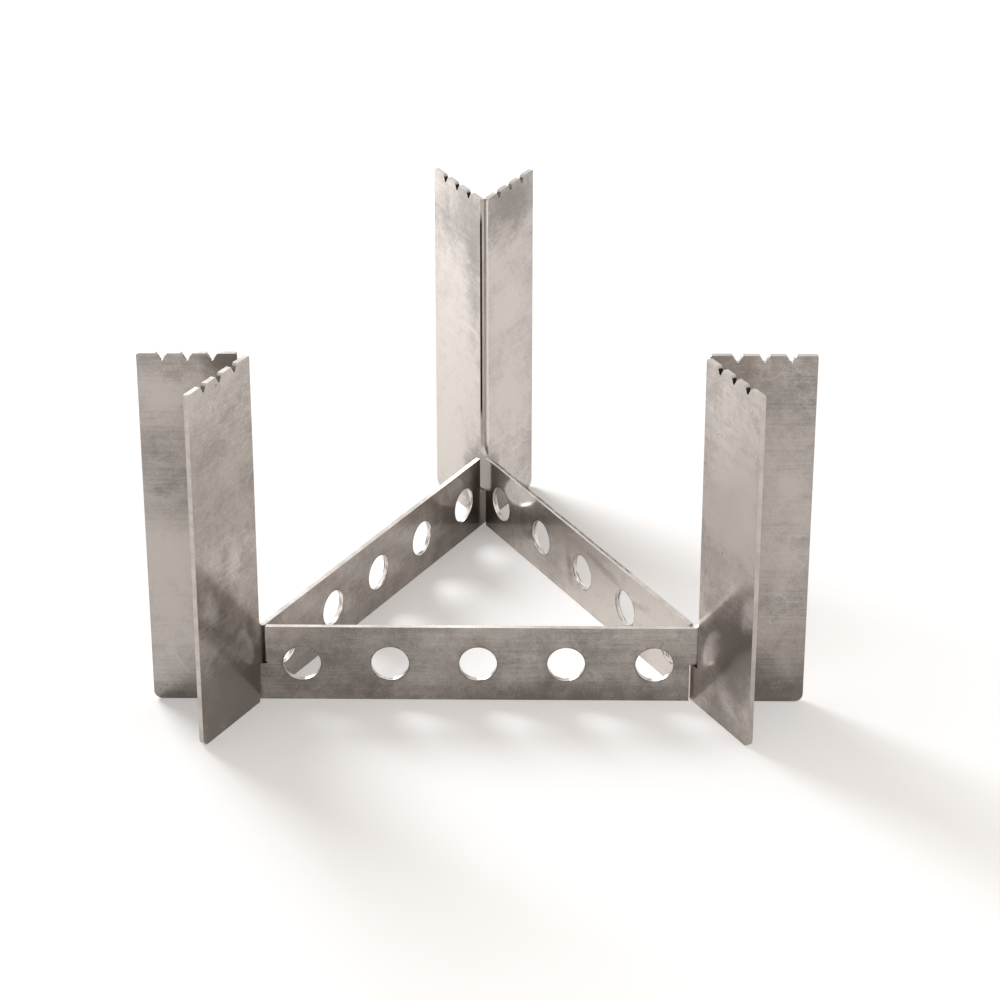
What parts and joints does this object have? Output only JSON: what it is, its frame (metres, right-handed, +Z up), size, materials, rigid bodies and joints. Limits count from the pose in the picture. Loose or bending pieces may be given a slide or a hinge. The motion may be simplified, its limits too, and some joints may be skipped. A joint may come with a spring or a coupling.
{
  "type": "camping stove stand",
  "caption": "Slot-together triangular camping stove: flat stainless plates with a low drilled bar and tall notched uprights that hold a pot over a tin of fuel.",
  "frame": {"origin": "on the ground, midway between the front plate and the back corner, under the middle of the stand", "axes": "+X to the right along the front plate, +Y towards the back corner, +Z up to the pot"},
  "size_m": [0.259, 0.2276, 0.152],
  "materials": {
    "stainless_sheet": "tumbled satin stainless sheet, with fine grain, smudges and handling scratches"
  },
  "bodies": {
    "front": {"front_plate": "stainless_sheet"},
    "right": {"right_plate": "stainless_sheet"},
    "left": {"left_plate": "stainless_sheet"}
  },
  "joints": [
    {"name": "right_plate_rock", "type": "hinge", "parent": "front", "child": "right", "pos_m": [0.08605, -0.07562, 0.0198], "axis": [0.8708, 0.4917, 0], "range_deg": [0, 6]},
    {"name": "left_plate_rock", "type": "hinge", "parent": "front", "child": "left", "pos_m": [0, 0.07676, 0.0099], "axis": [-0.8708, 0.4917, 0], "range_deg": [0, 6]}
  ]
}
